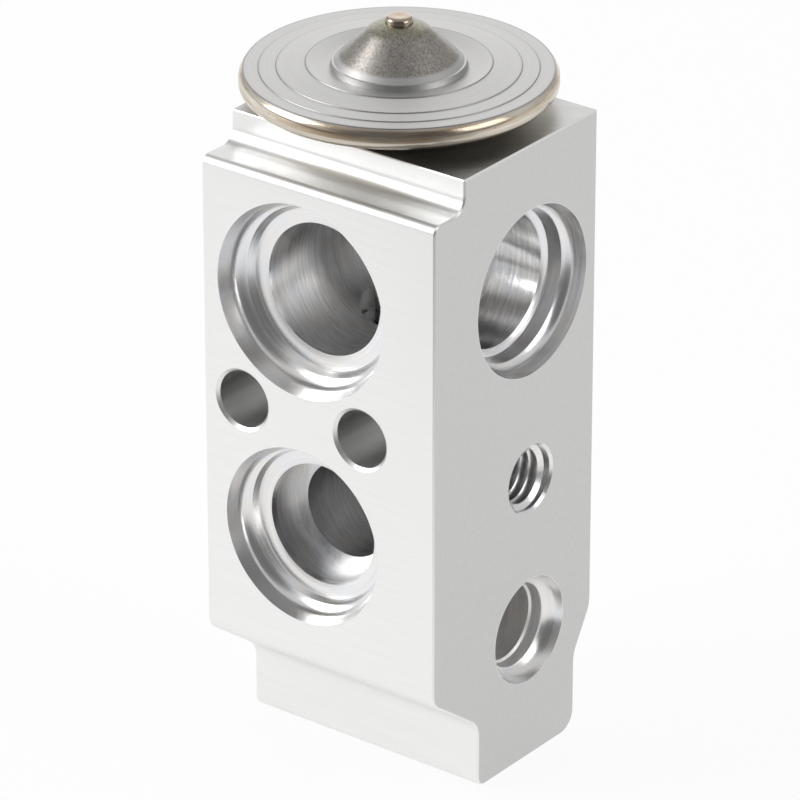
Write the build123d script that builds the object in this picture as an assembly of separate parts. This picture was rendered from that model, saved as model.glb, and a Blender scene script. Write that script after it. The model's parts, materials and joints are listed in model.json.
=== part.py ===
from build123d import *
import os
from math import radians, sqrt, tan

# Millimetres. Z runs up the valve's axis from the underside of the foot, the two bolt holes
# and the evaporator ports open towards -Y, the liquid inlet and its tapped hole towards +X.

# Block, measured from the valve's axis
block_left = 14.0
block_right = 19.0
block_front = 18.4
block_back = 12.1
block_top = 78.2
edge_break = 0.2
top_break = 0.12

# Step that makes the neck at the top of the front face
neck_step = 5.5
ledge_z = 74.4
neck_round = 1.8
ledge_round = 1.0

# Foot that hangs below the front and back faces
foot_front = 9.78
foot_back = 9.0
front_slope_top = 14.55
front_slope_bottom = 8.27
back_slope_top = 15.0
back_slope_bottom = 9.72
front_slope_round = 2.0
foot_hollow_round = 3.2
back_slope_round = 4.0
foot_front_round = 1.3
foot_back_round = 2.5

# Upper passage, where the vapour comes in at the front and leaves at the right
vapour_z = 60.0
vapour_in_mouth_r = 11.85
vapour_in_wall_r = 11.6
vapour_in_wall_depth = 1.9
vapour_in_flare_r = 10.4
vapour_in_flare_depth = 3.5
vapour_in_seat_r = 9.8
vapour_in_seat_depth = 4.3
vapour_in_lip_r = 8.9
vapour_in_lip_depth = 4.3
vapour_in_bore_r = 8.0
vapour_in_bore_depth = 10.0
vapour_in_passage_r = 7.8
vapour_in_end_gap = 0.4
vapour_out_mouth_r = 10.3
vapour_out_wall_r = 10.05
vapour_out_wall_depth = 1.5
vapour_out_flare_r = 9.2
vapour_out_flare_depth = 2.7
vapour_out_seat_r = 8.85
vapour_out_seat_depth = 4.35
vapour_out_lip_r = 8.4
vapour_out_lip_depth = 4.5
vapour_out_bore_r = 8.05
vapour_out_bore_depth = 9.6
vapour_out_passage_r = 7.85

# Lower passage, where the expanded liquid leaves to the evaporator
outlet_z = 30.4
outlet_mouth_r = 10.95
outlet_wall_r = 10.7
outlet_wall_depth = 1.6
outlet_flare_r = 9.6
outlet_flare_depth = 3.0
outlet_seat_r = 9.2
outlet_seat_depth = 3.7
outlet_lip_r = 8.3
outlet_lip_depth = 3.7
outlet_bore_r = 7.5
outlet_bore_depth = 8.7
outlet_throat_r = 5.9
outlet_past_axis = 6.9

# Liquid inlet at the right, low down
inlet_z = 16.7
inlet_mouth_r = 6.6
inlet_wall_r = 6.4
inlet_wall_depth = 0.6
inlet_flare_r = 5.6
inlet_flare_depth = 1.8
inlet_seat_r = 5.2
inlet_seat_depth = 2.1
inlet_lip_r = 5.05
inlet_lip_depth = 3.4
inlet_bore_r = 4.8
inlet_bore_depth = 9.0
inlet_passage_r = 4.6

# Depth of the bevel from each port's lip to its bore, and of the cone at the bore's end
lip_bevel = 0.25
bore_cone = 1.0

# Fastening holes
bolt_spacing = 17.0
bolt_z = 45.3
bolt_r = 3.5
bolt_bevel = 0.38
tapped_z = 36.3
tapped_r = 4.0
tapped_depth = 10.5
tapped_bevel = 0.3
drill_angle = 59.0

# Power head: the rim's radius, then what each part stands back from its neighbour
head_rim_r = 18.2
rim_flange = 2.8
rim_bead = 1.3
rim_bead_round = 1.1
rim_slope = 0.5
rim_step = 0.1
clamp_rise = 2.9
cover_sheet = 1.2
outer_ring_inset = 2.3
middle_ring_inset = 2.0
inner_ring_inset = 3.3
ring_step = 0.09
ring_land = 0.07
outer_ring_rise = 0.22
middle_ring_rise = 0.4
inner_ring_rise = 0.72
disc_rise = 0.82
moat_r = 7.85
moat_depth = 0.52
foot_wall = 0.2
foot_wall_rise = 0.65
foot_land = 0.25
dome_shoulder_r = 3.3
dome_shoulder_rise = 4.65
dome_top_r = 1.8
dome_top_rise = 5.5
dome_shoulder_round = 3.2
fill_hole_r = 1.05
plug_overlap = 0.55
plug_height = 0.85
plug_round = 0.55
plug_dish_r = 0.7
plug_dimple = 0.12
base_rim_thick = 1.0
base_bead_round = 0.85
base_slope = 0.55
base_lip_width = 1.9
seat_land = 0.9
neck_r = 9.4
neck_wall = 1.5
neck_length = 6.0
neck_end_gap = 0.8
head_bevel = 0.4
head_seal_width = 1.5
head_seal_height = 1.1

# Diaphragm with one raised corrugation, and the plate below it
diaphragm_sheet = 0.15
diaphragm_setback = 0.65
corrugation_margin = 1.0
corrugation_width = 2.1
corrugation_height = 0.35
pad_margin = 0.5
pad_sheet = 0.8
pad_boss_wall = 1.3
pad_boss_length = 4.2
pad_round = 0.3
shelf_margin = 0.7

# Moving stem
travel = 0.8
stop_gap = 0.2
rod_r = 2.8
rod_socket = 3.0
rod_bevel = 0.3
vent_margin = 1.6
pin_r = 1.0
pin_socket = 3.0
ball_overlap = 1.0
seat_gap = 0.05
cup_wall = 0.65
cup_cover = 0.35
carrier_cup_height = 2.2
carrier_flange_margin = 1.0
carrier_flange_sheet = 0.8
carrier_spigot_length = 1.2
carrier_bevel = 0.3

# Rod guide and its seal pocket below the upper passage
pocket_width = 1.8
pocket_depth = 3.4
guide_end_gap = 0.4
guide_web = 5.7
rod_seal_height = 1.6
washer_sheet = 0.5
retainer_sheet = 0.3
retainer_teeth = 8
retainer_tooth = 0.9
retainer_tooth_length = 0.5

# Orifice and spring chamber below the lower passage
orifice_gap = 0.75
orifice_web = 2.7
orifice_bevel = 0.8
spring_chamber_r = 6.0
spring_wire_r = 0.55
spring_mean_r = 3.75
spring_turns = 4.5

# Damper ring round the ball carrier
damper_sheet = 0.25
damper_fingers = 8
damper_finger_width = 1.7
damper_finger_height = 2.2

# Adjusting screw in the foot
screw_step = 1.0
screw_top_z = 8.7
screw_recess = 1.0
screw_seal_width = 1.25
screw_seal_height = 1.7
screw_land = 0.9
screw_cup_gap = 0.6
screw_cup_depth = 1.9
hex_across = 6.0
hex_floor = 1.6
key_mouth_margin = 0.45
key_mouth_depth = 1.0
screw_bevel = 0.5
stake_count = 3
stake_r = 0.55
stake_depth = 0.6
stake_margin = 1.2

# Clearances
running_gap = 0.04
fixed_gap = 0.02
seal_gap = 0.04
loose_gap = 0.1

# Corner radius of the ring seals' sections
seal_round = 0.45

# Radii that follow from the sizes above
chamber_r = head_rim_r - rim_flange
outer_ring_r = head_rim_r - outer_ring_inset
middle_ring_r = outer_ring_r - middle_ring_inset
inner_ring_r = middle_ring_r - inner_ring_inset
rim_edge_r = head_rim_r - rim_slope
foot_top_r = moat_r - foot_wall
dome_foot_r = foot_top_r - foot_land
plug_r = fill_hole_r + plug_overlap
base_slope_r = head_rim_r - base_lip_width
neck_bore_r = neck_r - neck_wall
head_bore_r = neck_r + fixed_gap
head_groove_r = neck_r + head_seal_width + seal_gap * 2
base_seat_r = head_groove_r + seat_land
diaphragm_r = head_rim_r - diaphragm_setback
diaphragm_seat_r = diaphragm_r + fixed_gap
corrugation_outer_r = chamber_r - corrugation_margin
corrugation_inner_r = corrugation_outer_r - corrugation_width
pad_r = corrugation_inner_r - pad_margin
shelf_r = pad_r + shelf_margin
pad_boss_r = rod_r + pad_boss_wall
vent_r = rod_r + vent_margin
pocket_r = rod_r + pocket_width
orifice_r = pin_r + orifice_gap
ball_r = orifice_r + ball_overlap
carrier_flange_r = spring_chamber_r - carrier_flange_margin
carrier_spigot_r = spring_mean_r - spring_wire_r - loose_gap
screw_bore_r = spring_chamber_r + screw_step
screw_cup_r = spring_mean_r + spring_wire_r + screw_cup_gap
key_mouth_r = hex_across / sqrt(3) + key_mouth_margin

# Heights that follow from the sizes above
clamp_z = block_top + clamp_rise
shelf_z = clamp_z - pad_sheet - travel - stop_gap
cover_z = clamp_z + diaphragm_sheet
rim_top_z = cover_z + rim_bead
moat_z = rim_top_z + disc_rise - moat_depth
foot_top_z = moat_z + foot_wall_rise
dome_shoulder_z = moat_z + dome_shoulder_rise
dome_top_z = rim_top_z + dome_top_rise
pad_z = clamp_z - pad_sheet
pad_boss_z = pad_z - pad_boss_length
pocket_floor_z = vapour_z - vapour_in_passage_r - pocket_depth
throat_top_z = outlet_z + outlet_throat_r
guide_floor_z = throat_top_z + guide_web
rod_bottom_z = guide_floor_z + travel + guide_end_gap
rod_top_z = pad_boss_z + rod_socket
chamber_top_z = outlet_z - outlet_throat_r - orifice_web
seat_edge_z = chamber_top_z + orifice_bevel
ball_z = seat_edge_z + orifice_r - sqrt(2) * (ball_r + seat_gap)
cup_apex_z = ball_z - sqrt(2) * (ball_r + fixed_gap)
cup_rim_z = ball_z - ball_r * cup_cover
cup_mouth_r = cup_rim_z - cup_apex_z
carrier_cup_r = cup_mouth_r + cup_wall
flange_z = cup_rim_z - carrier_cup_height
spring_top_z = flange_z - carrier_flange_sheet
screw_cup_z = screw_top_z - screw_cup_depth
seal_groove_top = screw_top_z - screw_land
seal_groove_bottom = seal_groove_top - screw_seal_height


def turned(outline, rounds=None):
    """Solid turned about Z from corners given as radius and height; rounds holds corner radii."""
    radii = [0.0] * len(outline)
    for corner, radius in (rounds or {}).items():
        radii[corner] = radius
    section = make_face(FilletPolyline(*outline, radius=radii, close=True))
    return revolve(Plane.XZ * section, Axis.Z)


def ring(inner_r, outer_r, bottom, top, rounding=0.0):
    """Ring with a rectangular section whose four corners can be rounded."""
    corners = [(inner_r, bottom), (outer_r, bottom), (outer_r, top), (inner_r, top)]
    return turned(corners, {index: rounding for index in range(4)} if rounding else None)


def front_hole(x, z):
    """Plane on the front face whose Z axis points out of the block."""
    return Plane(origin=(x, -block_front, z), x_dir=(1, 0, 0), z_dir=(0, -1, 0))


def right_hole(z):
    """Plane on the right face whose Z axis points out of the block."""
    return Plane(origin=(block_right, 0, z), x_dir=(0, 1, 0), z_dir=(1, 0, 0))


def port(mouth_r, wall, flare, steps):
    """Cutter for a port: tapered wall, round flare for a ring seal, then straight steps inward.

    Every step is a radius with its depth below the face.
    """
    wall_r, wall_depth = wall
    flare_r, flare_depth = flare
    taper = Line((mouth_r, 0), (wall_r, -wall_depth))
    curve = TangentArc((wall_r, -wall_depth), (flare_r, -flare_depth), tangent=taper % 1)
    rest = [(flare_r, -flare_depth)]
    rest += [(radius, -depth) for radius, depth in steps]
    rest += [(0, -steps[-1][1]), (0, 0), (mouth_r, 0)]
    section = make_face([taper, curve, Polyline(*rest)])
    return revolve(Plane.XZ * section, Axis.Z)


def block_blank():
    """Extruded block with its stepped neck, sloped foot and broken edges."""
    corners = [
        (-foot_front, 0),
        (-foot_front, front_slope_bottom),
        (-block_front, front_slope_top),
        (-block_front, ledge_z),
        (neck_step - block_front, ledge_z),
        (neck_step - block_front, block_top),
        (block_back, block_top),
        (block_back, back_slope_top),
        (foot_back, back_slope_bottom),
        (foot_back, 0),
    ]
    rounds = [
        foot_front_round,
        foot_hollow_round,
        front_slope_round,
        ledge_round,
        neck_round,
        0,
        0,
        back_slope_round,
        back_slope_round,
        foot_back_round,
    ]
    outline = make_face(FilletPolyline(*corners, radius=rounds, close=True))
    blank = extrude(Plane.YZ * outline, amount=block_right)
    blank += extrude(Plane.YZ * outline, amount=-block_left)
    sides = blank.faces().filter_by(Axis.X)
    blank = chamfer(sides.edges(), edge_break)
    top = blank.faces().sort_by(Axis.Z)[-1]
    return chamfer(top.edges().filter_by(Axis.X), top_break)


def port_cutters():
    """The four ports with their passages, each placed on its face."""
    vapour_in = port(
        vapour_in_mouth_r,
        (vapour_in_wall_r, vapour_in_wall_depth),
        (vapour_in_flare_r, vapour_in_flare_depth),
        [
            (vapour_in_seat_r, vapour_in_seat_depth),
            (vapour_in_lip_r, vapour_in_lip_depth),
            (vapour_in_bore_r, vapour_in_lip_depth + lip_bevel),
            (vapour_in_bore_r, vapour_in_bore_depth),
            (vapour_in_passage_r, vapour_in_bore_depth + bore_cone),
            (vapour_in_passage_r, block_front + vapour_out_passage_r + vapour_in_end_gap),
        ],
    )
    vapour_out = port(
        vapour_out_mouth_r,
        (vapour_out_wall_r, vapour_out_wall_depth),
        (vapour_out_flare_r, vapour_out_flare_depth),
        [
            (vapour_out_seat_r, vapour_out_seat_depth),
            (vapour_out_lip_r, vapour_out_lip_depth),
            (vapour_out_bore_r, vapour_out_lip_depth + lip_bevel),
            (vapour_out_bore_r, vapour_out_bore_depth),
            (vapour_out_passage_r, vapour_out_bore_depth + bore_cone),
            (vapour_out_passage_r, block_right),
        ],
    )
    outlet = port(
        outlet_mouth_r,
        (outlet_wall_r, outlet_wall_depth),
        (outlet_flare_r, outlet_flare_depth),
        [
            (outlet_seat_r, outlet_seat_depth),
            (outlet_lip_r, outlet_lip_depth),
            (outlet_bore_r, outlet_lip_depth + lip_bevel),
            (outlet_bore_r, outlet_bore_depth),
            (outlet_throat_r, outlet_bore_depth),
            (outlet_throat_r, block_front + outlet_past_axis),
        ],
    )
    inlet = port(
        inlet_mouth_r,
        (inlet_wall_r, inlet_wall_depth),
        (inlet_flare_r, inlet_flare_depth),
        [
            (inlet_seat_r, inlet_seat_depth),
            (inlet_lip_r, inlet_lip_depth),
            (inlet_bore_r, inlet_lip_depth + lip_bevel),
            (inlet_bore_r, inlet_bore_depth),
            (inlet_passage_r, inlet_bore_depth + bore_cone),
            (inlet_passage_r, block_right),
        ],
    )
    return [
        front_hole(0, vapour_z) * vapour_in,
        right_hole(vapour_z) * vapour_out,
        front_hole(0, outlet_z) * outlet,
        right_hole(inlet_z) * inlet,
    ]


def bolt_cutter():
    """Straight hole right through the block with a bevel at both mouths."""
    through = block_front + block_back
    return turned(
        [
            (0, 0),
            (bolt_r + bolt_bevel, 0),
            (bolt_r, -bolt_bevel),
            (bolt_r, bolt_bevel - through),
            (bolt_r + bolt_bevel, -through),
            (0, -through),
        ]
    )


def tapped_cutter():
    """Blind hole for the stud, with the cone that the drill leaves."""
    cone = tapped_r / tan(radians(drill_angle))
    return turned(
        [
            (0, 0),
            (tapped_r + tapped_bevel, 0),
            (tapped_r, -tapped_bevel),
            (tapped_r, -tapped_depth),
            (0, -tapped_depth - cone),
        ]
    )


def head_cutter():
    """Bore for the power head's neck, with the groove of its ring seal at the top."""
    floor = block_top - neck_length - neck_end_gap
    groove_floor = block_top - head_seal_height - seal_gap
    return turned(
        [
            (0, block_top),
            (head_groove_r, block_top),
            (head_groove_r, groove_floor),
            (head_bore_r, groove_floor),
            (head_bore_r, floor + head_bevel),
            (head_bore_r - head_bevel, floor),
            (vent_r, floor),
            (vent_r, vapour_z),
            (0, vapour_z),
        ]
    )


def stem_cutter():
    """Seal pocket, rod guide and pin hole between the upper and the lower passage."""
    guide_r = rod_r + running_gap
    return turned(
        [
            (0, vapour_z),
            (pocket_r, vapour_z),
            (pocket_r, pocket_floor_z),
            (guide_r, pocket_floor_z),
            (guide_r, guide_floor_z),
            (pin_r + running_gap, guide_floor_z),
            (pin_r + running_gap, outlet_z),
            (0, outlet_z),
        ]
    )


def chamber_cutter():
    """Orifice with its conical ball seat, spring chamber and the screw's tapped bore."""
    return turned(
        [
            (0, outlet_z),
            (orifice_r, outlet_z),
            (orifice_r, seat_edge_z),
            (orifice_r + orifice_bevel, chamber_top_z),
            (spring_chamber_r, chamber_top_z),
            (spring_chamber_r, screw_top_z + fixed_gap),
            (screw_bore_r, screw_top_z + fixed_gap),
            (screw_bore_r, screw_bevel),
            (screw_bore_r + screw_bevel, 0),
            (0, 0),
        ]
    )


def stake_cutters():
    """Punch marks round the screw's mouth that lock it once it has been set."""
    mark = Cone(stake_r, 0, stake_depth, align=(Align.CENTER, Align.CENTER, Align.MIN))
    marks = []
    for index in range(stake_count):
        turn = Rot(0, 0, 360 * index / stake_count)
        marks.append(turn * Pos(screw_bore_r + stake_margin, 0, 0) * mark)
    return marks


def valve_body():
    """Block with every port, passage and hole cut."""
    cutters = port_cutters()
    for side in (-1, 1):
        cutters.append(front_hole(side * bolt_spacing / 2, bolt_z) * bolt_cutter())
    cutters.append(right_hole(tapped_z) * tapped_cutter())
    cutters.append(head_cutter())
    cutters.append(stem_cutter())
    cutters.append(chamber_cutter())
    cutters.extend(stake_cutters())
    block = block_blank()
    for cutter in cutters:
        block -= cutter
    return block


def head_cover():
    """Upper shell of the power head: rounded rim, stepped disc, moat and dome."""
    outer_z = rim_top_z + outer_ring_rise
    middle_z = rim_top_z + middle_ring_rise
    inner_z = rim_top_z + inner_ring_rise
    disc_z = rim_top_z + disc_rise
    outline = [
        (head_rim_r, clamp_z),
        (head_rim_r, rim_top_z - rim_slope),
        (rim_edge_r, rim_top_z),
        (rim_edge_r, rim_top_z + rim_step),
        (outer_ring_r + ring_land, outer_z - ring_step),
        (outer_ring_r, outer_z),
        (middle_ring_r + ring_land, middle_z - ring_step),
        (middle_ring_r, middle_z),
        (inner_ring_r + ring_land, inner_z),
        (inner_ring_r, disc_z),
        (moat_r, moat_z),
        (foot_top_r, foot_top_z),
        (dome_foot_r, foot_top_z),
        (dome_shoulder_r, dome_shoulder_z),
        (dome_top_r, dome_top_z),
        (fill_hole_r, dome_top_z),
        (fill_hole_r, dome_top_z - cover_sheet),
        (dome_shoulder_r - cover_sheet, dome_shoulder_z - cover_sheet),
        (dome_foot_r - cover_sheet, foot_top_z - cover_sheet),
        (moat_r, moat_z - cover_sheet),
        (inner_ring_r, disc_z - cover_sheet),
        (chamber_r - cover_sheet, outer_z - cover_sheet),
        (chamber_r, cover_z),
        (diaphragm_seat_r, cover_z),
        (diaphragm_seat_r, clamp_z),
    ]
    return turned(outline, {1: rim_bead_round, 13: dome_shoulder_round})


def charge_plug():
    """Plug welded over the dome's filling hole, dished on top."""
    shank_r = fill_hole_r - fixed_gap
    plug_top_z = dome_top_z + plug_height
    return turned(
        [
            (0, dome_top_z - cover_sheet),
            (shank_r, dome_top_z - cover_sheet),
            (shank_r, dome_top_z),
            (plug_r, dome_top_z),
            (plug_r, plug_top_z),
            (plug_dish_r, plug_top_z),
            (0, plug_top_z - plug_dimple),
        ],
        {4: plug_round},
    )


def head_base():
    """Lower shell of the power head: lip, dished plate and the neck screwed into the block."""
    lip_z = clamp_z - base_rim_thick
    neck_z = block_top - neck_length
    return turned(
        [
            (head_rim_r, clamp_z),
            (head_rim_r, lip_z + base_slope),
            (head_rim_r - base_slope, lip_z),
            (base_slope_r, lip_z),
            (base_seat_r, block_top),
            (neck_r, block_top),
            (neck_r, neck_z + head_bevel),
            (neck_r - head_bevel, neck_z),
            (neck_bore_r, neck_z),
            (neck_bore_r, shelf_z),
            (shelf_r, shelf_z),
            (chamber_r, clamp_z),
        ],
        {1: base_bead_round},
    )


def head_seal():
    """Ring seal in the groove round the neck."""
    inner_r = neck_r + seal_gap
    bottom = block_top - head_seal_height
    return ring(inner_r, inner_r + head_seal_width, bottom, block_top, seal_round)


def diaphragm():
    """Thin steel disc with one raised corrugation between the plate and the clamped rim."""
    middle_r = (corrugation_inner_r + corrugation_outer_r) / 2

    def surface(height):
        flat = Line((0, height), (corrugation_inner_r, height))
        wave = ThreePointArc(
            (corrugation_inner_r, height),
            (middle_r, height + corrugation_height),
            (corrugation_outer_r, height),
        )
        rim = Line((corrugation_outer_r, height), (diaphragm_r, height))
        return [flat, wave, rim]

    edges = surface(clamp_z) + surface(cover_z)
    edges.append(Line((0, clamp_z), (0, cover_z)))
    edges.append(Line((diaphragm_r, clamp_z), (diaphragm_r, cover_z)))
    return revolve(Plane.XZ * make_face(edges), Axis.Z)


def diaphragm_pad():
    """Plate that the diaphragm pushes, with a boss that holds the rod's top."""
    socket_r = rod_r + fixed_gap
    return turned(
        [
            (0, clamp_z),
            (pad_r, clamp_z),
            (pad_r, pad_z),
            (pad_boss_r, pad_z),
            (pad_boss_r, pad_boss_z),
            (socket_r, pad_boss_z),
            (socket_r, rod_top_z),
            (0, rod_top_z),
        ],
        {1: pad_round, 3: pad_round},
    )


def sensing_rod():
    """Rod that crosses the upper passage, bored at its lower end for the pin."""
    socket_r = pin_r + fixed_gap
    return turned(
        [
            (0, rod_top_z),
            (rod_r - rod_bevel, rod_top_z),
            (rod_r, rod_top_z - rod_bevel),
            (rod_r, rod_bottom_z + rod_bevel),
            (rod_r - rod_bevel, rod_bottom_z),
            (socket_r, rod_bottom_z),
            (socket_r, rod_bottom_z + pin_socket),
            (0, rod_bottom_z + pin_socket),
        ]
    )


def push_pin():
    """Thin pin that reaches through the orifice and stands on the ball."""
    bottom = ball_z + ball_r
    top = rod_bottom_z + pin_socket
    return turned([(0, bottom), (pin_r, bottom), (pin_r, top), (0, top)])


def valve_ball():
    """Ball that closes the orifice from below."""
    return Pos(0, 0, ball_z) * Sphere(ball_r)


def ball_carrier():
    """Cup under the ball with a spring flange and a spigot inside the spring."""
    floor_z = flange_z + loose_gap
    return turned(
        [
            (0, floor_z),
            (floor_z - cup_apex_z, floor_z),
            (cup_mouth_r, cup_rim_z),
            (carrier_cup_r, cup_rim_z),
            (carrier_cup_r, flange_z),
            (carrier_flange_r, flange_z),
            (carrier_flange_r, spring_top_z),
            (carrier_spigot_r, spring_top_z),
            (carrier_spigot_r - carrier_bevel, spring_top_z - carrier_spigot_length),
            (0, spring_top_z - carrier_spigot_length),
        ]
    )


def damper_ring():
    """Ring on the carrier's flange whose bent-up fingers rub the chamber's wall."""
    plate_top = flange_z + damper_sheet
    finger_top = flange_z + damper_finger_height
    tip_r = spring_chamber_r - loose_gap
    plate = ring(carrier_cup_r + loose_gap, carrier_flange_r, flange_z, plate_top)
    skirt = turned(
        [
            (carrier_flange_r - damper_sheet, flange_z),
            (carrier_flange_r, flange_z),
            (tip_r, finger_top),
            (tip_r - damper_sheet, finger_top),
        ]
    )
    blade = Box(
        spring_chamber_r,
        damper_finger_width,
        damper_finger_height,
        align=(Align.MIN, Align.CENTER, Align.MIN),
    )
    for index in range(damper_fingers):
        turn = Rot(0, 0, 360 * index / damper_fingers)
        plate += skirt & (Pos(0, 0, flange_z) * turn * blade)
    return plate


def superheat_spring():
    """Coil spring between the screw's cup and the carrier, ground flat at both ends."""
    length = spring_top_z - screw_cup_z
    pitch = length / spring_turns
    path = Helix(pitch, length, spring_mean_r)
    start = Plane(origin=path @ 0, z_dir=path % 0)
    coil = sweep(start * Circle(spring_wire_r), path=path, is_frenet=True)
    outer_r = spring_mean_r + spring_wire_r * 2
    return Pos(0, 0, screw_cup_z) * (coil & ring(0, outer_r, 0, length))


def rod_seal():
    """Ring seal between the rod and its pocket."""
    top = pocket_floor_z + rod_seal_height
    return ring(rod_r + running_gap, pocket_r - seal_gap, pocket_floor_z, top, seal_round)


def seal_washer():
    """Flat washer over the rod's seal."""
    bottom = pocket_floor_z + rod_seal_height
    inner_r = rod_r + loose_gap
    return ring(inner_r, pocket_r - loose_gap, bottom, bottom + washer_sheet)


def seal_retainer():
    """Push nut whose teeth grip the pocket's wall above the washer."""
    bottom = pocket_floor_z + rod_seal_height + washer_sheet
    inner_r = rod_r + loose_gap * 2
    tip_r = pocket_r - fixed_gap
    plate = ring(inner_r, tip_r - retainer_tooth_length, bottom, bottom + retainer_sheet)
    rim = ring(inner_r, tip_r, bottom, bottom + retainer_sheet)
    tooth = Box(
        pocket_r,
        retainer_tooth,
        retainer_sheet,
        align=(Align.MIN, Align.CENTER, Align.MIN),
    )
    for index in range(retainer_teeth):
        turn = Rot(0, 0, 360 * index / retainer_teeth)
        plate += rim & (Pos(0, 0, bottom) * turn * tooth)
    return plate


def adjusting_screw():
    """Threaded plug in the foot: spring cup, seal groove, hexagon socket with a round mouth."""
    land_r = screw_bore_r - fixed_gap
    groove_r = screw_bore_r - screw_seal_width - seal_gap * 2
    plug = turned(
        [
            (0, screw_cup_z),
            (screw_cup_r, screw_cup_z),
            (screw_cup_r, screw_top_z),
            (land_r, screw_top_z),
            (land_r, seal_groove_top),
            (groove_r, seal_groove_top),
            (groove_r, seal_groove_bottom),
            (land_r, seal_groove_bottom),
            (land_r, screw_recess + screw_bevel),
            (land_r - screw_bevel, screw_recess),
            (0, screw_recess),
        ]
    )
    depth = screw_cup_z - hex_floor - screw_recess
    socket = extrude(RegularPolygon(hex_across / 2, 6, major_radius=False), amount=depth)
    socket += extrude(Circle(key_mouth_r), amount=key_mouth_depth)
    return plug - Pos(0, 0, screw_recess) * socket


def screw_seal():
    """Ring seal in the adjusting screw's groove."""
    inner_r = screw_bore_r - screw_seal_width - seal_gap
    outer_r = screw_bore_r - seal_gap
    return ring(inner_r, outer_r, seal_groove_bottom, seal_groove_top, seal_round)


parts = {
    "valve_body": valve_body(),
    "head_cover": head_cover(),
    "charge_plug": charge_plug(),
    "head_base": head_base(),
    "head_seal": head_seal(),
    "diaphragm": diaphragm(),
    "diaphragm_pad": diaphragm_pad(),
    "sensing_rod": sensing_rod(),
    "rod_seal": rod_seal(),
    "seal_washer": seal_washer(),
    "seal_retainer": seal_retainer(),
    "push_pin": push_pin(),
    "valve_ball": valve_ball(),
    "ball_carrier": ball_carrier(),
    "damper_ring": damper_ring(),
    "superheat_spring": superheat_spring(),
    "adjusting_screw": adjusting_screw(),
    "screw_seal": screw_seal(),
}

os.makedirs("parts", exist_ok=True)
for name, shape in parts.items():
    export_step(shape, "parts/" + name + ".step")
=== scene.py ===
import json
import math
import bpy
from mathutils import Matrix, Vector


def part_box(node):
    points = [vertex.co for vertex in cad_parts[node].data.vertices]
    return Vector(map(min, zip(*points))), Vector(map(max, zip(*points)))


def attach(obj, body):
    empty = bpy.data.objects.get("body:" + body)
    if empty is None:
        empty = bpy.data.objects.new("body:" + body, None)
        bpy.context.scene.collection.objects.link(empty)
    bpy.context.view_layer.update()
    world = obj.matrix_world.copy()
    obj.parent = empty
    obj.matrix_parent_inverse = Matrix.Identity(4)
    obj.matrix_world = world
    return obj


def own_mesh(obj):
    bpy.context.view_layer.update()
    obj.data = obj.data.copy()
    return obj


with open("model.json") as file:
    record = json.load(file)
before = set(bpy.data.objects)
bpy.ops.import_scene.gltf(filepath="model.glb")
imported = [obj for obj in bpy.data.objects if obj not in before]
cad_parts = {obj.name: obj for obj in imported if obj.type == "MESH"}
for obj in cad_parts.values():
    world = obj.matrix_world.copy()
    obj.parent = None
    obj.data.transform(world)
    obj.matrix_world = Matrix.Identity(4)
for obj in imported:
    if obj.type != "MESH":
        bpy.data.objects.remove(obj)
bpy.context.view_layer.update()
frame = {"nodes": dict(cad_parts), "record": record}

from types import SimpleNamespace

import bpy
from mathutils import Vector

# The valve's own frame: Z up its axis from the foot, ports towards -Y and +X.
# Lengths are in millimetres unless they are passed to Blender.
MM = 0.001
WHITE = (1.0, 1.0, 1.0, 1.0)
BLACK = (0.0, 0.0, 0.0, 1.0)
CREASE = math.radians(24)

block_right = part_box("valve_body")[1].x / MM
block_front = -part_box("valve_body")[0].y / MM
mount = {item["name"]: item for item in frame["record"]["mounts"]}


def mount_height(name):
    """Height of a named opening's middle."""
    return mount[name]["pos_m"][2] / MM


vapour_z = mount_height("evaporator_vapour_port")
outlet_z = mount_height("evaporator_liquid_port")
inlet_z = mount_height("liquid_inlet_port")
stud_z = mount_height("line_stud_hole")
stud_r = mount["line_stud_hole"]["dims"]["r_mm"]

# Where the finishes of the block change
vapour_in_mouth_r = 11.9
outlet_mouth_r = 11.0
vapour_out_mouth_r = 10.34
inlet_mouth_r = 6.64
stud_mouth_r = 4.32
stud_finish_r = 4.4
between_ports_z = 45.0
right_ports_x = 8.0
front_ports_y = 9.0
bore_depth = 4.6
inlet_flare_depth = 1.9
ledge_low_z = 66.0
ledge_high_z = 77.0

# Darkest and lightest tone of the block's surfaces, with painted light and shade: front
# painted lighter, right face, top and ledge painted darker, port mouths, bores and inlet
# painted lighter
front_painted_light_tone = (0.88, 0.97)
right_painted_shade_tone = (0.58, 0.70)
top_painted_shade_tone = (0.40, 0.62)
ledge_painted_shade_tone = (0.56, 0.66)
port_painted_light_tone = (0.74, 1.0)
bore_painted_light_tone = (0.62, 1.08)
inlet_painted_light_tone = (0.74, 1.06)

# Roughness of the block's surfaces, from their smoothest to their roughest spots
face_rough = (0.34, 0.46)
port_rough = (0.16, 0.32)
bore_rough = (0.28, 0.44)
upper_right_bore_rough = (0.12, 0.22)
inlet_rough = (0.38, 0.60)

# Middle of the milling cutter's path over the block's top
cutter_x = 40.0
cutter_y = -30.0

# Where the finishes of the power head change
head_top_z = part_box("head_cover")[1].z / MM
rim_top_z = head_top_z - 5.5
dome_shoulder_z = head_top_z - 1.2
dome_r = 6.6
rim_r = 17.6

# Radius and darkness of the painted shade lines at the disc's steps
step_shade_lines = ((10.62, 0.38), (13.94, 0.34), (15.94, 0.34), (17.68, 0.5))


# Shader helpers

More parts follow.
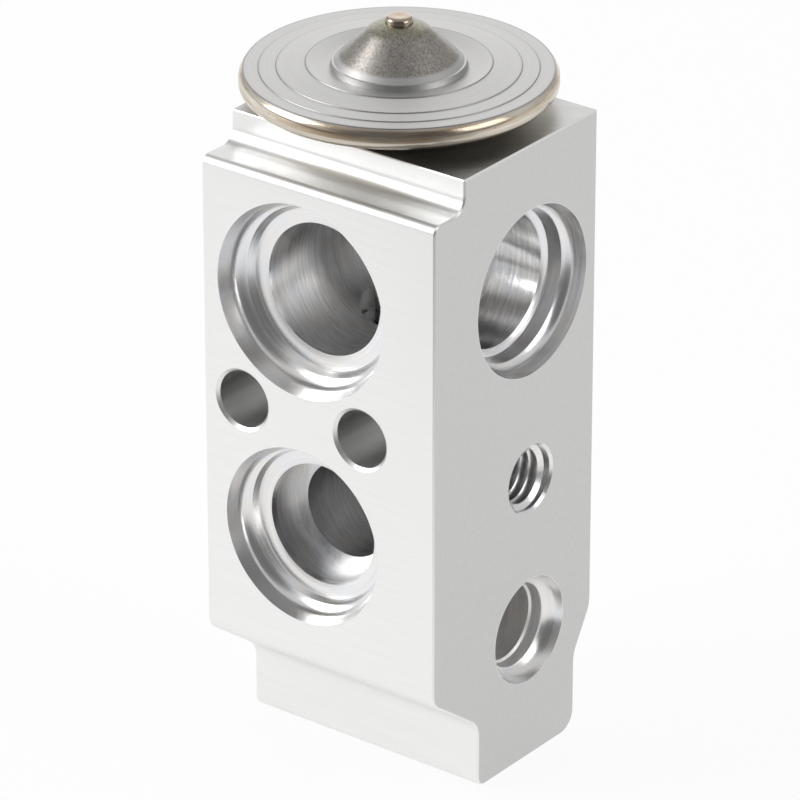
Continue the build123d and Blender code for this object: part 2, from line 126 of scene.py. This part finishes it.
class Nodes:
    """A node tree under construction: each method adds nodes and returns an output."""

    def __init__(self, tree):
        self.tree = tree
        self.count = 0

    def put(self, socket, value):
        """Gives a socket a number, a colour or another node's output."""
        if isinstance(value, bpy.types.NodeSocket):
            self.tree.links.new(value, socket)
        else:
            socket.default_value = value

    def node(self, kind, **settings):
        item = self.tree.nodes.new(kind)
        for key, value in settings.items():
            setattr(item, key, value)
        self.count += 1
        item.location = (-220 * (1 + self.count % 8), -180 * (self.count // 8))
        return item

    def math(self, operation, a, b=0.0, c=0.0):
        item = self.node("ShaderNodeMath", operation=operation)
        for socket, value in zip(item.inputs, (a, b, c)):
            self.put(socket, value)
        return item.outputs[0]

    def times(self, product, *factors):
        for factor in factors:
            product = self.math("MULTIPLY", product, factor)
        return product

    def plus(self, a, b):
        return self.math("ADD", a, b)

    def minus(self, a, b):
        return self.math("SUBTRACT", a, b)

    def below(self, value, limit):
        """1 where the value is less than the limit, else 0."""
        return self.math("LESS_THAN", value, limit)

    def above(self, value, limit):
        """1 where the value is more than the limit, else 0."""
        return self.math("GREATER_THAN", value, limit)

    def largest(self, found, *others):
        for other in others:
            found = self.math("MAXIMUM", found, other)
        return found

    def distance(self, a, b):
        """Length of the step made of two lengths at right angles."""
        return self.math("SQRT", self.plus(self.times(a, a), self.times(b, b)))

    def within(self, a, b, radius):
        """1 inside a circle, else 0, from the two lengths to its middle."""
        return self.below(self.distance(a, b), radius)

    def vector(self, x, y, z):
        item = self.node("ShaderNodeCombineXYZ")
        for socket, value in zip(item.inputs, (x, y, z)):
            self.put(socket, value)
        return item.outputs[0]

    def noise(self, vector, scale, detail=2.0, roughness=0.5):
        item = self.node("ShaderNodeTexNoise")
        self.put(item.inputs["Vector"], vector)
        self.put(item.inputs["Scale"], scale)
        self.put(item.inputs["Detail"], detail)
        self.put(item.inputs["Roughness"], roughness)
        return item.outputs["Fac"]

    def spread(self, value, low, high, from_low=0.0, from_high=1.0, kind="LINEAR"):
        """Map of a value onto the range from low to high."""
        item = self.node("ShaderNodeMapRange", interpolation_type=kind)
        self.put(item.inputs["Value"], value)
        self.put(item.inputs["From Min"], from_low)
        self.put(item.inputs["From Max"], from_high)
        self.put(item.inputs["To Min"], low)
        self.put(item.inputs["To Max"], high)
        return item.outputs[0]

    def step(self, value, start, end, before=0.0, after=1.0):
        """Smooth change from before to after; start may be the larger value."""
        return self.spread(value, before, after, start, end, kind="SMOOTHSTEP")

    def mix(self, factor, a, b):
        """Blend of two numbers."""
        item = self.node("ShaderNodeMix", data_type="FLOAT")
        for place, value in zip((0, 2, 3), (factor, a, b)):
            self.put(item.inputs[place], value)
        return item.outputs[0]

    def tint(self, factor, a, b):
        """Blend of two colours."""
        item = self.node("ShaderNodeMix", data_type="RGBA")
        for place, value in zip((0, 6, 7), (factor, a, b)):
            self.put(item.inputs[place], value)
        return item.outputs[2]


class Shader(Nodes):
    """A material under construction."""

    def __init__(self, name):
        self.material = bpy.data.materials.new(name)
        self.material.use_nodes = True
        super().__init__(self.material.node_tree)
        self.surface = self.tree.nodes["Principled BSDF"]

    def place(self):
        """Object coordinates in millimetres, whole and as X, Y and Z."""
        coordinates = self.node("ShaderNodeTexCoord").outputs["Object"]
        scale = self.node("ShaderNodeVectorMath", operation="SCALE")
        self.put(scale.inputs[0], coordinates)
        self.put(scale.inputs["Scale"], 1 / MM)
        parts = self.node("ShaderNodeSeparateXYZ")
        self.put(parts.inputs[0], scale.outputs[0])
        return scale.outputs[0], *parts.outputs

    def facing(self):
        """How much the surface faces along X, Y and Z, without sign."""
        normal = self.node("ShaderNodeNewGeometry").outputs["Normal"]
        size = self.node("ShaderNodeVectorMath", operation="ABSOLUTE")
        self.put(size.inputs[0], normal)
        parts = self.node("ShaderNodeSeparateXYZ")
        self.put(parts.inputs[0], size.outputs[0])
        return tuple(parts.outputs)

    def finish(self, color, roughness, metallic=1.0, height=None, bump=0.1, reach=0.0001):
        self.put(self.surface.inputs["Base Color"], color)
        self.put(self.surface.inputs["Roughness"], roughness)
        self.surface.inputs["Metallic"].default_value = metallic
        if height is not None:
            item = self.node("ShaderNodeBump")
            item.inputs["Strength"].default_value = bump
            item.inputs["Distance"].default_value = reach
            self.put(item.inputs["Height"], height)
            self.put(self.surface.inputs["Normal"], item.outputs[0])
        return self.material


def opaque(red, green, blue):
    return (red, green, blue, 1.0)


def grey(level):
    return opaque(level, level, level)


# Finishes

def map_ports(s, x, y, z):
    """Where a point lies in the ports: 1 or 0 for each region, and three lengths."""
    high = s.minus(z, vapour_z)
    low = s.minus(z, outlet_z)
    side = s.minus(z, inlet_z)
    stud = s.minus(z, stud_z)
    in_inlet = s.within(y, side, inlet_mouth_r)
    in_right = s.largest(s.within(y, high, vapour_out_mouth_r), in_inlet,
                         s.within(y, stud, stud_mouth_r))
    in_right = s.times(in_right, s.above(x, right_ports_x))
    in_front = s.largest(s.within(x, high, vapour_in_mouth_r),
                         s.within(x, low, outlet_mouth_r))
    in_front = s.times(in_front, s.below(y, front_ports_y), s.minus(1.0, in_right))
    in_port = s.largest(in_front, in_right)

    upper = s.above(z, between_ports_z)
    sunk = s.mix(in_right, s.plus(y, block_front), s.minus(block_right, x))
    off_stud = s.above(s.distance(y, stud), stud_finish_r)
    past_step = s.step(sunk, bore_depth, bore_depth + 0.6)
    past_flare = s.step(sunk, inlet_flare_depth, inlet_flare_depth + 0.2)
    front_r = s.distance(x, s.mix(upper, low, high))
    right_r = s.distance(y, s.mix(upper, side, high))
    return SimpleNamespace(
        mouth=in_port,
        bore=s.times(in_port, past_step, off_stud),
        upper_right=s.times(in_right, upper),
        inlet=s.times(in_inlet, past_flare, in_right),
        depth=s.mix(in_right, y, x),
        radius=s.mix(in_right, front_r, right_r),
        swing=s.mix(in_right, x, y),
    )


def block_marks(s, x, y, z, port):
    """Tool marks: across the front, on the right face, over the top and in the ports."""
    across = s.noise(s.vector(s.times(x, 0.06), 0.0, s.times(z, 3.0)), 1.0, detail=4.0)
    grain = s.noise(s.vector(s.times(y, 2.5), 0.0, s.times(z, 1.2)), 1.0,
                    detail=5.0, roughness=0.65)
    sweep = s.distance(s.minus(x, cutter_x), s.minus(y, cutter_y))
    arcs = s.noise(s.vector(s.times(sweep, 0.9), s.times(x, 0.05), 0.0), 1.0, detail=3.0)
    rings = s.vector(s.times(port.depth, 3.2), s.times(port.radius, 4.0),
                     s.times(port.swing, 0.16))
    turned = s.noise(rings, 1.0, detail=4.0, roughness=0.68)
    slant = s.plus(s.times(port.depth, 2.6), s.times(port.swing, 0.5))
    slants = s.vector(slant, s.times(port.radius, 0.4), s.times(port.swing, 0.35))
    scratch = s.noise(slants, 1.0, detail=5.0, roughness=0.75)
    return across, grain, arcs, turned, scratch


def block_aluminium():
    """Milled and turned aluminium: brushed front, grained sides, arced top, turned ports;
    painted shade darkens the right face, top and ledge, and painted light brightens the front
    and the ports.
    """
    s = Shader("block_aluminium")
    place, x, y, z = s.place()
    face_x, _, face_z = s.facing()
    port = map_ports(s, x, y, z)
    across, grain, arcs, turned, scratch = block_marks(s, x, y, z, port)

    def by_scratch(least, most):
        return s.spread(scratch, least, most, 0.25, 0.75)

    streak = s.mix(s.step(face_x, 0.6, 0.9), across, grain)
    streak = s.mix(s.step(face_z, 0.6, 0.9), streak, arcs)
    streak = s.mix(port.mouth, streak, turned)
    streak = s.mix(port.bore, streak, scratch)

    # Masks of the top and of the ledge, where painted shade darkens the colour
    top_shade_mask = s.times(s.step(face_z, 0.9, 0.99), s.above(z, ledge_high_z))
    beside_neck = s.times(s.above(z, ledge_low_z), s.below(z, ledge_high_z))
    ledge_shade_mask = s.times(s.step(face_z, 0.45, 0.95), beside_neck)
    # Painted light and shade: each face direction gets its own lightness, the front painted
    # lighter, the right face and top painted darker
    painted_light_and_shade = s.spread(streak, *front_painted_light_tone)
    painted_light_and_shade = s.mix(s.step(face_x, 0.9, 0.99), painted_light_and_shade, s.spread(grain, *right_painted_shade_tone))
    painted_light_and_shade = s.mix(top_shade_mask, painted_light_and_shade, s.spread(arcs, *top_painted_shade_tone))
    # Painted shade: the upward-facing ledge beside the neck is painted darker
    painted_light_and_shade = s.mix(ledge_shade_mask, painted_light_and_shade, s.spread(across, *ledge_painted_shade_tone))
    # Painted light: the port mouths, the bores and the inlet are painted lighter against the
    # shade inside them
    painted_light_and_shade = s.mix(port.mouth, painted_light_and_shade, s.spread(turned, *port_painted_light_tone))
    painted_light_and_shade = s.mix(port.bore, painted_light_and_shade, by_scratch(*bore_painted_light_tone))
    painted_light_and_shade = s.mix(port.inlet, painted_light_and_shade, by_scratch(*inlet_painted_light_tone))

    satin = s.mix(port.upper_right, by_scratch(*bore_rough),
                  by_scratch(*upper_right_bore_rough))
    rough = s.mix(port.mouth, s.spread(streak, *face_rough), s.spread(turned, *port_rough))
    rough = s.mix(port.bore, rough, satin)
    rough = s.mix(port.inlet, rough, by_scratch(*inlet_rough))

    sheen = s.tint(s.step(s.noise(place, 0.25, detail=1.0), 0.4, 0.6),
                   opaque(0.975, 0.98, 1.0), opaque(1.0, 0.985, 0.965))
    light = s.tint(port.mouth, opaque(1.0, 1.0, 0.99), sheen)
    color = s.tint(painted_light_and_shade, BLACK, light)
    height = s.times(streak, s.mix(port.mouth, 0.2, s.mix(port.bore, 0.45, 1.0)))
    return s.finish(color, rough, height=height, bump=0.6, reach=0.00005)


def head_steel():
    """Drawn steel: grey disc with painted shade lines at its steps, heat tint at the rim,
    dusky dome.
    """
    s = Shader("head_steel")
    place, x, y, z = s.place()
    radius = s.distance(x, y)
    rings = s.noise(s.vector(s.times(radius, 2.2), s.times(z, 2.2), 0.0), 1.0, detail=4.0)
    speck = s.noise(place, 6.0, detail=3.0, roughness=0.7)
    blotch = s.noise(place, 0.5, detail=3.0)
    pits = s.step(s.noise(place, 3.4, detail=1.0), 0.27, 0.20)

    disc = s.tint(s.mix(0.5, rings, speck), opaque(0.42, 0.415, 0.412),
                  opaque(0.55, 0.545, 0.54))
    # Painted shade: a dark line at each of the disc's steps
    shade_lines = []
    for step_r, dark in step_shade_lines:
        away = s.math("ABSOLUTE", s.minus(radius, step_r))
        shade_lines.append(s.times(s.step(away, 0.16, 0.04), dark))
    disc = s.tint(s.largest(*shade_lines), disc, opaque(0.10, 0.09, 0.09))

    on_rim = s.times(s.step(radius, rim_r, rim_r + 0.3), s.below(z, rim_top_z + 0.02))
    warmth = s.noise(s.vector(s.times(x, 0.10), s.times(y, 0.10), z), 0.9,
                     detail=3.0, roughness=0.6)
    straw = s.tint(s.step(warmth, 0.30, 0.70), opaque(0.46, 0.36, 0.25),
                   opaque(0.76, 0.71, 0.63))
    rim = s.tint(s.times(pits, 0.7), straw, opaque(0.20, 0.15, 0.11))

    in_dome = s.step(radius, dome_r + 0.35, dome_r)
    mottle = s.step(s.mix(0.3, speck, s.noise(place, 2.6, detail=3.0)), 0.34, 0.64)
    dusk = s.tint(mottle, opaque(0.19, 0.175, 0.165), opaque(0.42, 0.395, 0.365))
    cap = s.tint(mottle, opaque(0.15, 0.145, 0.10), opaque(0.34, 0.33, 0.26))
    dome = s.tint(s.step(z, dome_shoulder_z, dome_shoulder_z + 0.9), dusk, cap)

    color = s.tint(in_dome, disc, dome)
    color = s.tint(on_rim, color, rim)
    rough = s.mix(in_dome, 0.42, s.spread(speck, 0.22, 0.44))
    rough = s.mix(on_rim, rough, s.spread(blotch, 0.10, 0.26))
    height = s.mix(in_dome, rings, speck)
    height = s.mix(on_rim, height, s.minus(1.0, pits))
    return s.finish(color, rough, height=height, bump=0.22, reach=0.00006)


def turned_metal(name, color, smoothest, roughest):
    """Turned metal with fine rings round the valve's axis."""
    s = Shader(name)
    place, x, y, z = s.place()
    rings_per_mm = 3.0
    radius = s.distance(x, y)
    marks = s.noise(s.vector(s.times(radius, rings_per_mm), s.times(z, rings_per_mm), 0.0),
                    1.0, detail=4.0)
    darker = opaque(*(value * 0.82 for value in color))
    tone = s.tint(s.noise(place, 0.35, detail=3.0), darker, opaque(*color))
    return s.finish(tone, s.spread(marks, smoothest, roughest),
                    height=marks, bump=0.12, reach=0.00005)


def seal_rubber():
    """Black ring-seal rubber, matt with a fine bloom."""
    s = Shader("seal_rubber")
    place = s.place()[0]
    bloom = s.noise(place, 4.0, detail=4.0)
    return s.finish(s.tint(bloom, grey(0.012), grey(0.035)), s.spread(bloom, 0.5, 0.7),
                    metallic=0.0, height=bloom, bump=0.1)


# Colour, smoothest and roughest spots of each turned metal
turned_metals = {
    "plug_steel": ((0.46, 0.38, 0.31), 0.10, 0.22),
    "base_steel": ((0.68, 0.62, 0.53), 0.14, 0.3),
    "diaphragm_steel": ((0.66, 0.66, 0.66), 0.15, 0.3),
    "pad_brass": ((0.72, 0.56, 0.28), 0.2, 0.35),
    "rod_aluminium": ((0.80, 0.80, 0.79), 0.2, 0.32),
    "washer_steel": ((0.62, 0.62, 0.62), 0.2, 0.35),
    "pin_steel": ((0.70, 0.70, 0.71), 0.08, 0.16),
    "carrier_brass": ((0.74, 0.58, 0.30), 0.2, 0.35),
    "spring_steel": ((0.50, 0.50, 0.50), 0.2, 0.35),
    "screw_brass": ((0.70, 0.55, 0.28), 0.22, 0.38),
}
finishes = {name: turned_metal(name, *look) for name, look in turned_metals.items()}
finishes["body_aluminium"] = block_aluminium()
finishes["head_steel"] = head_steel()
finishes["seal_rubber"] = seal_rubber()


# Pieces

def deselect():
    bpy.ops.object.select_all(action="DESELECT")


def dress_nodes():
    """Gives every solid its finish and smooth curves between its sharp edges."""
    weld_reach = 0.002 * MM
    for part in frame["record"]["subparts"]:
        solid = frame["nodes"][part["node"]]
        solid.data.materials.clear()
        solid.data.materials.append(finishes[part["material_slot"]])
        deselect()
        solid.select_set(True)
        bpy.context.view_layer.objects.active = solid
        bpy.ops.object.shade_smooth()
        weld = solid.modifiers.new("weld", "WELD")
        weld.merge_threshold = weld_reach
        split = solid.modifiers.new("split", "EDGE_SPLIT")
        split.split_angle = CREASE


def squash_spring():
    """Gives the coil spring, standing on the screw's cup, a mesh of its own."""
    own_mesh(frame["nodes"]["superheat_spring"])


def stud_thread():
    """Thread ridge of the tapped hole, wound from one tooth's outline."""
    pitch = 1.25
    turns = 7.5
    steps = 512
    inset = 0.7
    root_r = stud_r + 0.03
    tip_r = stud_r - 0.66
    root_half = 0.56
    tip_half = 0.11
    deselect()
    bpy.ops.mesh.primitive_plane_add(size=1.0, location=(block_right - inset, 0, stud_z))
    thread = bpy.context.active_object
    thread.name = "stud_thread"
    outline = {0: (-root_half, root_r), 1: (root_half, root_r),
               3: (tip_half, tip_r), 2: (-tip_half, tip_r)}
    bpy.ops.object.mode_set(mode="EDIT")
    bpy.ops.mesh.delete(type="ONLY_FACE")
    bpy.ops.object.mode_set(mode="OBJECT")
    for point, (along, out) in outline.items():
        thread.data.vertices[point].co = (along, 0, out)
    wind = thread.modifiers.new("wind", "SCREW")
    wind.axis = "X"
    wind.angle = math.tau * turns
    wind.screw_offset = -pitch * turns
    wind.steps = steps
    wind.render_steps = steps
    bpy.ops.object.modifier_apply(modifier="wind")
    bpy.ops.object.mode_set(mode="EDIT")
    bpy.ops.mesh.select_all(action="SELECT")
    bpy.ops.mesh.fill_holes(sides=6)
    bpy.ops.mesh.normals_make_consistent(inside=False)
    bpy.ops.transform.resize(value=(MM, MM, MM), center_override=(0, 0, 0))
    bpy.ops.object.mode_set(mode="OBJECT")
    bpy.ops.object.transform_apply(location=True, rotation=True, scale=True)
    bpy.ops.object.shade_smooth_by_angle(angle=CREASE)
    thread.data.materials.append(finishes["body_aluminium"])
    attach(thread, "valve")


# Studio

# Directions from the valve to the camera's side, along the floor and in space
floor_toward_camera = (0.61, -0.79)
toward_camera = (0.58, -0.76, 0.30)


def aim(item, place, direction):
    """Puts a lamp or a camera at its place and turns it to look along a direction."""
    item.location = place
    item.rotation_mode = "QUATERNION"
    item.rotation_quaternion = direction.to_track_quat("-Z", "Y")
    bpy.context.scene.collection.objects.link(item)


def lay_floor():
    """Pale floor that the metal mirrors brightly, but dark far ahead of the valve."""
    deselect()
    bpy.ops.mesh.primitive_plane_add(size=6.0)
    floor = bpy.context.active_object
    floor.name = "floor"
    s = Shader("floor_paint")
    s.finish(grey(0.88), 0.6, metallic=0.0)
    _, x, y, _ = s.place()
    path = s.node("ShaderNodeLightPath")
    mirrored = path.outputs["Is Glossy Ray"]
    along_x, along_y = floor_toward_camera
    ahead = s.plus(s.times(x, along_x), s.times(y, along_y))
    dark_start = 60.0
    dark_end = 260.0
    darkness = 0.85
    dark = s.times(s.step(ahead, dark_start, dark_end), mirrored)
    glow = s.node("ShaderNodeEmission")
    s.put(glow.inputs["Strength"], s.minus(1.0, s.times(dark, darkness)))
    glow_seen = 0.92
    glow_mirrored = 0.72
    extra_in_dark = 0.15
    seen = s.times(path.outputs["Is Camera Ray"], glow_seen)
    shown = s.times(mirrored, s.math("MULTIPLY_ADD", dark, extra_in_dark, glow_mirrored))
    blend = s.node("ShaderNodeMixShader")
    s.put(blend.inputs[0], s.plus(shown, seen))
    s.put(blend.inputs[1], s.surface.outputs[0])
    s.put(blend.inputs[2], glow.outputs[0])
    s.put(s.tree.nodes["Material Output"].inputs["Surface"], blend.outputs[0])
    floor.data.materials.append(s.material)


def light_sky():
    """White sky to the camera; to the valve a softer one, darker on the camera's side."""
    world = bpy.data.worlds.new("studio")
    world.use_nodes = True
    bpy.context.scene.world = world
    s = Nodes(world.node_tree)
    path = s.node("ShaderNodeLightPath")
    toward = s.node("ShaderNodeVectorMath", operation="DOT_PRODUCT")
    s.put(toward.inputs[0], s.node("ShaderNodeTexCoord").outputs["Generated"])
    s.put(toward.inputs[1], toward_camera)
    softer = s.step(toward.outputs["Value"], 0.55, 0.85, before=0.62, after=0.16)
    background = s.tree.nodes["Background"]
    s.put(background.inputs["Strength"], s.spread(path.outputs["Is Camera Ray"], softer, 1.0))
    s.put(background.inputs["Color"], WHITE)


def hang_lamps():
    """Square soft lamps round the valve, each with its place, width and power."""
    middle = Vector((0, 0, 0.04))
    lamps = {
        "left_box": ((-0.62, -0.50, 0.50), 0.55, 4.6),
        "right_box": ((0.80, 0.15, 0.45), 0.55, 1.6),
        "back_box": ((-0.62, 0.80, 0.45), 1.00, 2.6),
    }
    for name, (place, width, power) in lamps.items():
        lamp = bpy.data.lights.new(name, "AREA")
        lamp.size = width
        lamp.energy = power
        aim(bpy.data.objects.new(name, lamp), place, middle - Vector(place))


def set_camera():
    """Long lens at the photograph's angle."""
    target = Vector((1.485, -1.776, 41.844)) * MM
    azimuth = math.radians(37.48)
    elevation = math.radians(26.04)
    distance = 713.8 * MM
    back = Vector((math.sin(azimuth) * math.cos(elevation),
                   -math.cos(azimuth) * math.cos(elevation),
                   math.sin(elevation)))
    lens = bpy.data.cameras.new("camera")
    lens.sensor_width = 36.0
    lens.lens = 278.1
    lens.clip_start = 0.01
    lens.clip_end = 20.0
    item = bpy.data.objects.new("camera", lens)
    aim(item, target + back * distance, -back)
    bpy.context.scene.camera = item


bpy.context.scene.view_settings.view_transform = "Standard"
set_camera()
dress_nodes()
squash_spring()
stud_thread()
lay_floor()
light_sky()
hang_lamps()
